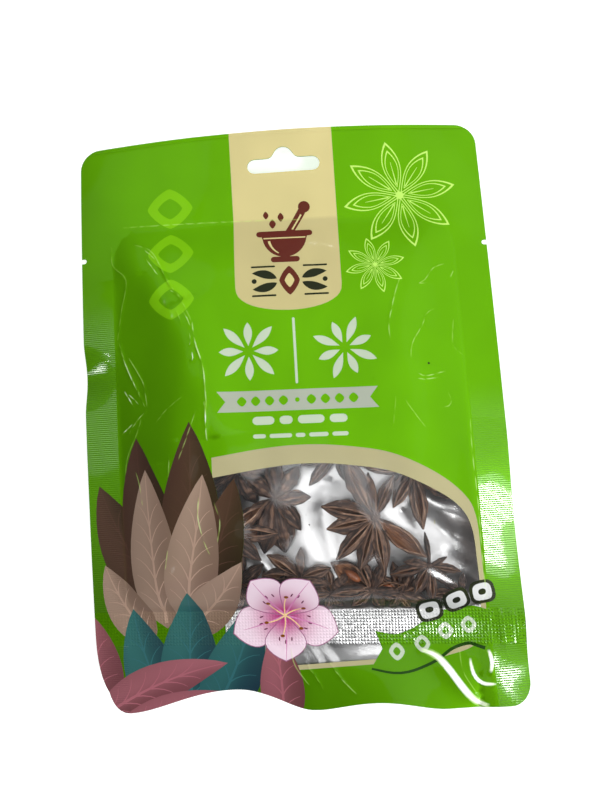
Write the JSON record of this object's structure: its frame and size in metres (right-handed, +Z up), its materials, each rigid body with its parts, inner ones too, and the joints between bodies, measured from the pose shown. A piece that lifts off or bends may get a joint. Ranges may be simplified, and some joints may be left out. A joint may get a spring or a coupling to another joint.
{
  "type": "star anise pouch",
  "caption": "Flat heat-sealed spice pouch with rounded corners, hang hole, tear notches, inset bottom seal and a clear window over whole star anise pods.",
  "frame": {"origin": "centre of the pouch's outline, at the level of its flat back, which is the table", "axes": "+Z up out of the printed front, +Y towards the header with the hang hole, +X to the right as the front is seen"},
  "size_m": [0.13, 0.18, 0.015],
  "materials": {
    "printed_film": "glossy printed laminate",
    "clear_film": "clear glossy film",
    "metallised_film": "bright metallised laminate",
    "star_anise": "dry, wrinkled and matt",
    "seed": "polished, smooth and glossy"
  },
  "bodies": {
    "root": {"pouch": "printed_film"}
  },
  "joints": []
}
